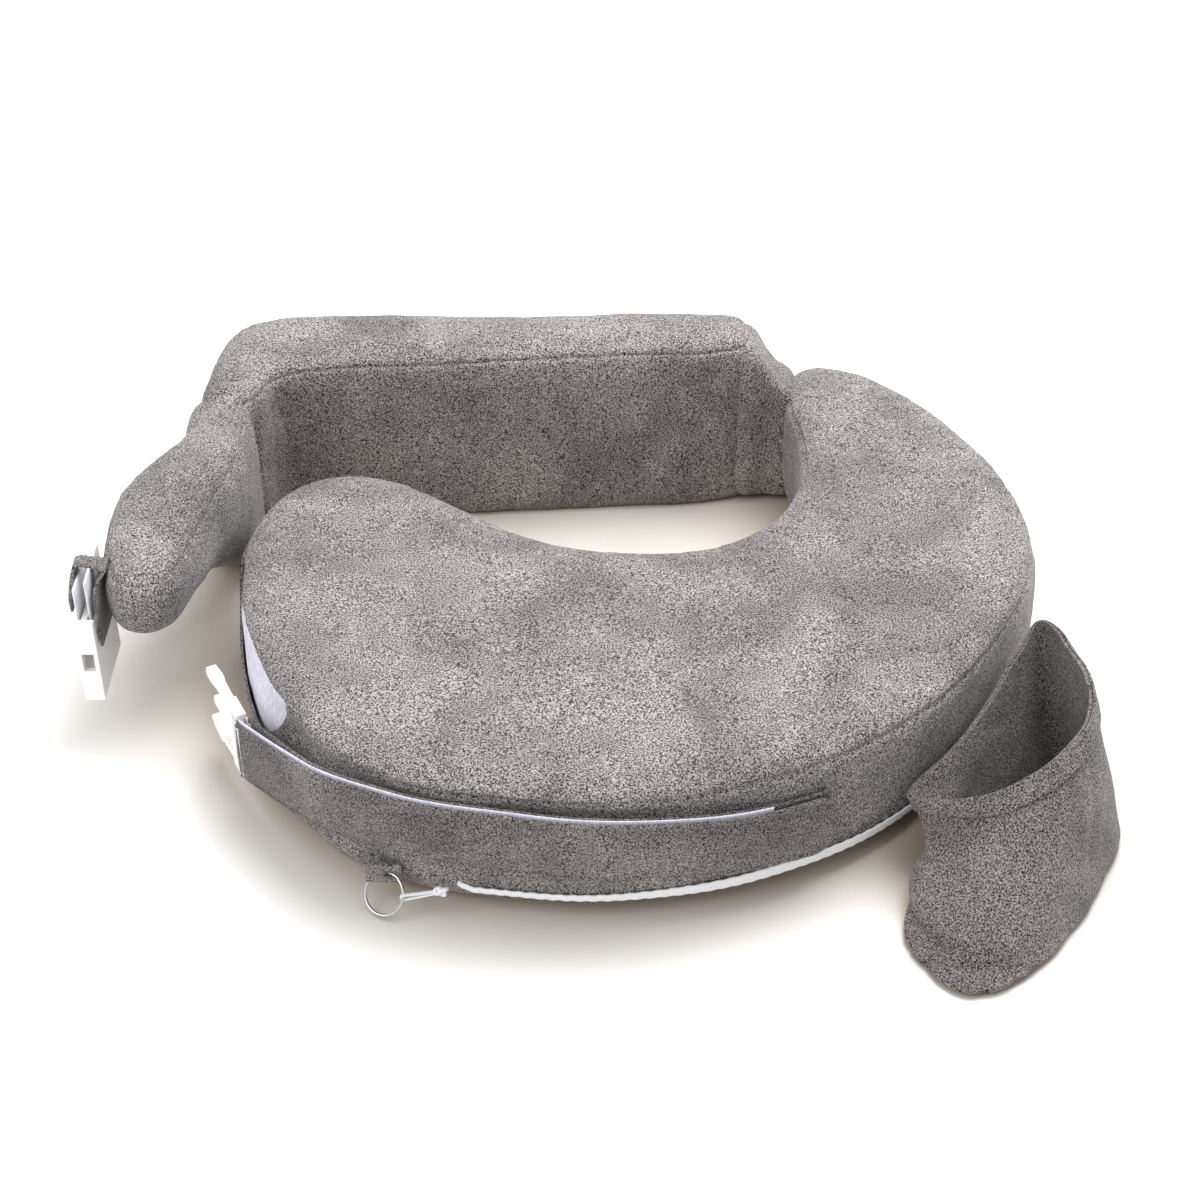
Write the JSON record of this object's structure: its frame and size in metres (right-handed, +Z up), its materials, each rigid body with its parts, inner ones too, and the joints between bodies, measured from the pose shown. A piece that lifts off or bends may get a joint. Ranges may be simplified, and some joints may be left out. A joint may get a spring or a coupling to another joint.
{
  "type": "nursing pillow",
  "caption": "Wrap-around nursing pillow: firm C-shaped platform with a hinged back rest and arm, waist strap with side-release buckle, side pocket and elastic hem.",
  "frame": {"origin": "on the floor, at the middle of the pillow's box", "axes": "+X across the pillow, towards the pocket side; +Y towards the back rest; +Z up"},
  "size_m": [0.662, 0.5541, 0.14],
  "materials": {
    "grey_plush": "matte",
    "white_liner": "matte",
    "white_elastic": "matte",
    "foam": "matte",
    "fastener_tape": "matte",
    "white_plastic": "satin",
    "ring_steel": "polished"
  },
  "bodies": {
    "platform": {"foam_core": "foam", "inner_liner": "white_liner", "top_cover": "grey_plush", "side_wall": "grey_plush", "hem_band": "grey_plush", "hem_elastic": "white_elastic", "elastic_knot": "white_elastic", "hang_tab": "grey_plush", "strap_inner_leg": "grey_plush", "strap_outer_leg": "grey_plush", "strap_turn": "white_liner", "loop_patch": "fastener_tape", "horn_gusset": "grey_plush", "pocket_bag": "grey_plush", "pocket_hem": "grey_plush"},
    "split_ring": {"split_ring": "ring_steel", "elastic_loop": "white_elastic"},
    "strap_tail": {"strap_tail": "grey_plush", "hook_patch": "fastener_tape"},
    "male_buckle": {"male_base": "white_plastic", "guide_tongue": "white_plastic"},
    "prong_upper": {"prong_upper": "white_plastic"},
    "prong_lower": {"prong_lower": "white_plastic"},
    "back_rest": {"back_foam": "foam", "back_liner": "white_liner", "back_cover": "grey_plush", "corner_gusset": "grey_plush"},
    "arm": {"arm_foam": "foam", "arm_liner": "white_liner", "arm_cover": "grey_plush", "webbing_loop": "white_liner"},
    "female_buckle": {"female_body": "white_plastic"}
  },
  "joints": [
    {"name": "back_rest_swing", "type": "hinge", "parent": "platform", "child": "back_rest", "pos_m": [0.1178, 0.2735, 0.07], "axis": [0, 0, -1], "range_deg": [0, 70]},
    {"name": "arm_swing", "type": "hinge", "parent": "back_rest", "child": "arm", "pos_m": [-0.2795, 0.147, 0.07], "axis": [0, 0, -1], "range_deg": [0, 70]},
    {"name": "female_buckle_swing", "type": "hinge", "parent": "arm", "child": "female_buckle", "pos_m": [-0.3245, -0.029, 0.1], "axis": [0, 1, 0], "range_deg": [0, 75]},
    {"name": "male_buckle_turn", "type": "hinge", "parent": "platform", "child": "male_buckle", "pos_m": [-0.2195, -0.114, 0.05], "axis": [0, 0, 1], "range_deg": [-8, 30]},
    {"name": "prong_upper_squeeze", "type": "hinge", "parent": "male_buckle", "child": "prong_upper", "pos_m": [-0.2279, -0.09752, 0.0705], "axis": [-0.891, -0.454, 0], "range_deg": [0, 8], "stiffness_Nm_per_rad": 0.2},
    {"name": "prong_lower_squeeze", "type": "hinge", "parent": "male_buckle", "child": "prong_lower", "pos_m": [-0.2279, -0.09752, 0.0295], "axis": [0.891, 0.454, 0], "range_deg": [0, 8], "stiffness_Nm_per_rad": 0.2},
    {"name": "strap_tail_peel", "type": "hinge", "parent": "platform", "child": "strap_tail", "pos_m": [0.0552, -0.2169, 0.0592], "axis": [0, 0, -1], "range_deg": [0, 60]},
    {"name": "split_ring_swivel", "type": "hinge", "parent": "platform", "child": "split_ring", "pos_m": [-0.1225, -0.2002, 0.024], "axis": [0, 0, 1], "range_deg": [-30, 0]}
  ],
  "couplings": [
    {"joint": "prong_lower_squeeze", "follows": "prong_upper_squeeze", "ratio": 1}
  ]
}
